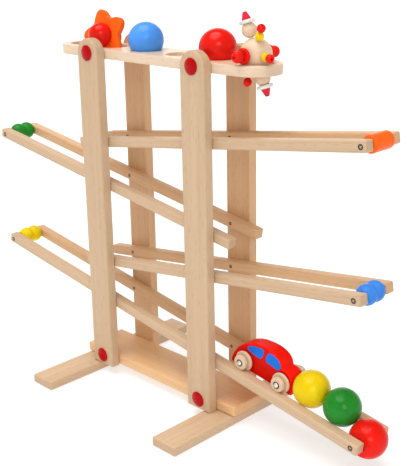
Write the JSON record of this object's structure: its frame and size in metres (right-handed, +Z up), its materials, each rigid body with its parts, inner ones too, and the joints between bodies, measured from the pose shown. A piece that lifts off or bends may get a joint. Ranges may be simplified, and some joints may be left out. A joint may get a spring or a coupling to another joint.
{
  "type": "marble run",
  "caption": "Free-standing wooden marble run: zigzag pairs of sloping rails in a four-post tower, with balls, a flower, a tumbling figure and a toy car that rolls on its flanged wheels.",
  "frame": {"origin": "on the floor, at the centre of the bounding box's underside", "axes": "+Z up; +X along the tracks, towards the end with the stop ball; +Y from the front rails to the rear rails"},
  "size_m": [0.778, 0.302, 0.584],
  "materials": {
    "ball_blue": "blue gloss paint over turned wood",
    "ball_green": "green gloss paint over turned wood",
    "ball_red": "red gloss paint over turned wood",
    "ball_yellow": "yellow gloss paint over turned wood",
    "base_board": "smooth sanded beech, clear satin lacquer",
    "cap_bottom_front_left": "red gloss paint over turned wood",
    "cap_bottom_front_right": "red gloss paint over turned wood",
    "cap_bottom_rear_left": "red gloss paint over turned wood",
    "cap_bottom_rear_right": "red gloss paint over turned wood",
    "cap_top_front_left": "red gloss paint over turned wood",
    "cap_top_front_right": "red gloss paint over turned wood",
    "cap_top_rear_left": "red gloss paint over turned wood",
    "cap_top_rear_right": "red gloss paint over turned wood",
    "car_axle_front": "bright rolled steel",
    "car_axle_rear": "bright rolled steel",
    "car_body": "red gloss paint over turned wood",
    "car_wheel_front_front": "smooth sanded beech, clear satin lacquer",
    "car_wheel_front_rear": "smooth sanded beech, clear satin lacquer",
    "car_wheel_rear_front": "smooth sanded beech, clear satin lacquer",
    "car_wheel_rear_rear": "smooth sanded beech, clear satin lacquer",
    "figure_bead_left": "yellow gloss paint over turned wood",
    "figure_bead_right": "yellow gloss paint over turned wood",
    "figure_bead_upper": "yellow gloss paint over turned wood",
    "figure_body": "smooth sanded beech, clear satin lacquer",
    "figure_disc_front": "red gloss paint over turned wood",
    "figure_disc_rear": "red gloss paint over turned wood",
    "figure_hand_left": "red gloss paint over turned wood",
    "figure_hand_lower": "red gloss paint over turned wood",
    "figure_hand_right": "red gloss paint over turned wood",
    "figure_hand_upper": "red gloss paint over turned wood",
    "figure_hat_lower": "red gloss paint over turned wood",
    "figure_hat_upper": "red gloss paint over turned wood",
    "figure_head_lower": "smooth sanded beech, clear satin lacquer",
    "figure_head_upper": "smooth sanded beech, clear satin lacquer",
    "figure_side_bead_front": "red gloss paint over turned wood",
    "figure_side_bead_rear": "red gloss paint over turned wood",
    "flower_dome_front": "red gloss paint over turned wood",
    "flower_dome_rear": "red gloss paint over turned wood",
    "flower_petals": "orange gloss paint over turned wood",
    "foot_left": "smooth sanded beech, clear satin lacquer",
    "foot_right": "smooth sanded beech, clear satin lacquer",
    "post_front_left": "smooth sanded beech, clear satin lacquer",
    "post_front_right": "smooth sanded beech, clear satin lacquer",
    "post_rear_left": "smooth sanded beech, clear satin lacquer",
    "post_rear_right": "smooth sanded beech, clear satin lacquer",
    "rail_lowest_front": "smooth sanded beech, clear satin lacquer",
    "rail_lowest_rear": "smooth sanded beech, clear satin lacquer",
    "rail_second_front": "smooth sanded beech, clear satin lacquer",
    "rail_second_rear": "smooth sanded beech, clear satin lacquer",
    "rail_third_front": "smooth sanded beech, clear satin lacquer",
    "rail_third_rear": "smooth sanded beech, clear satin lacquer",
    "rail_upper_front": "smooth sanded beech, clear satin lacquer",
    "rail_upper_rear": "smooth sanded beech, clear satin lacquer",
    "spacer_lowest": "yellow gloss paint over turned wood",
    "spacer_second": "green gloss paint over turned wood",
    "spacer_third": "blue gloss paint over turned wood",
    "spacer_upper": "orange gloss paint over turned wood",
    "stop_ball": "red gloss paint over turned wood",
    "top_board": "smooth sanded beech, clear satin lacquer"
  },
  "bodies": {
    "frame": {"post_front_left": "post_front_left", "cap_bottom_front_left": "cap_bottom_front_left", "cap_top_front_left": "cap_top_front_left", "post_front_right": "post_front_right", "cap_bottom_front_right": "cap_bottom_front_right", "cap_top_front_right": "cap_top_front_right", "post_rear_left": "post_rear_left", "cap_bottom_rear_left": "cap_bottom_rear_left", "cap_top_rear_left": "cap_top_rear_left", "post_rear_right": "post_rear_right", "cap_bottom_rear_right": "cap_bottom_rear_right", "cap_top_rear_right": "cap_top_rear_right", "top_board": "top_board", "base_board": "base_board", "foot_left": "foot_left", "foot_right": "foot_right", "rail_upper_front": "rail_upper_front", "rail_upper_rear": "rail_upper_rear", "rail_second_front": "rail_second_front", "rail_second_rear": "rail_second_rear", "rail_third_front": "rail_third_front", "rail_third_rear": "rail_third_rear", "rail_lowest_front": "rail_lowest_front", "rail_lowest_rear": "rail_lowest_rear", "spacer_upper": "spacer_upper", "spacer_second": "spacer_second", "spacer_third": "spacer_third", "spacer_lowest": "spacer_lowest", "stop_ball": "stop_ball"},
    "blue_ball": {"ball_blue": "ball_blue"},
    "red_ball": {"ball_red": "ball_red"},
    "yellow_ball": {"ball_yellow": "ball_yellow"},
    "green_ball": {"ball_green": "ball_green"},
    "flower": {"flower_petals": "flower_petals", "flower_dome_front": "flower_dome_front", "flower_dome_rear": "flower_dome_rear"},
    "figure": {"figure_body": "figure_body", "figure_head_upper": "figure_head_upper", "figure_hat_upper": "figure_hat_upper", "figure_head_lower": "figure_head_lower", "figure_hat_lower": "figure_hat_lower", "figure_bead_upper": "figure_bead_upper", "figure_hand_upper": "figure_hand_upper", "figure_bead_right": "figure_bead_right", "figure_hand_right": "figure_hand_right", "figure_bead_left": "figure_bead_left", "figure_hand_left": "figure_hand_left", "figure_hand_lower": "figure_hand_lower", "figure_disc_front": "figure_disc_front", "figure_side_bead_front": "figure_side_bead_front", "figure_disc_rear": "figure_disc_rear", "figure_side_bead_rear": "figure_side_bead_rear"},
    "car": {"car_body": "car_body"},
    "front_wheels": {"car_axle_front": "car_axle_front", "car_wheel_front_front": "car_wheel_front_front", "car_wheel_front_rear": "car_wheel_front_rear"},
    "rear_wheels": {"car_axle_rear": "car_axle_rear", "car_wheel_rear_front": "car_wheel_rear_front", "car_wheel_rear_rear": "car_wheel_rear_rear"}
  },
  "joints": [
    {"name": "blue_ball_lift", "type": "slide", "parent": "frame", "child": "blue_ball", "axis": [0, 0, 1], "range_m": [0, 0.08]},
    {"name": "red_ball_lift", "type": "slide", "parent": "frame", "child": "red_ball", "axis": [0, 0, 1], "range_m": [0, 0.08]},
    {"name": "yellow_ball_lift", "type": "slide", "parent": "frame", "child": "yellow_ball", "axis": [0.1561, 0, 0.9877], "range_m": [0, 0.08]},
    {"name": "green_ball_lift", "type": "slide", "parent": "frame", "child": "green_ball", "axis": [0.1561, 0, 0.9877], "range_m": [0, 0.08]},
    {"name": "flower_lift", "type": "slide", "parent": "frame", "child": "flower", "axis": [0, 0, 1], "range_m": [0, 0.08]},
    {"name": "figure_lift", "type": "slide", "parent": "frame", "child": "figure", "axis": [0, 0, 1], "range_m": [0, 0.12]},
    {"name": "car_roll", "type": "slide", "parent": "frame", "child": "car", "axis": [-0.9877, 0, 0.1561], "range_m": [0, 0.49]},
    {"name": "front_wheels_turn", "type": "hinge", "parent": "car", "child": "front_wheels", "pos_m": [0.22673, 0, 0.08802], "axis": [0, 1, 0], "continuous": true},
    {"name": "rear_wheels_turn", "type": "hinge", "parent": "car", "child": "rear_wheels", "pos_m": [0.15858, 0, 0.09879], "axis": [0, 1, 0], "continuous": true}
  ],
  "couplings": [
    {"joint": "front_wheels_turn", "follows": "car_roll", "rad_per_m": -95.238},
    {"joint": "rear_wheels_turn", "follows": "car_roll", "rad_per_m": -95.238}
  ]
}
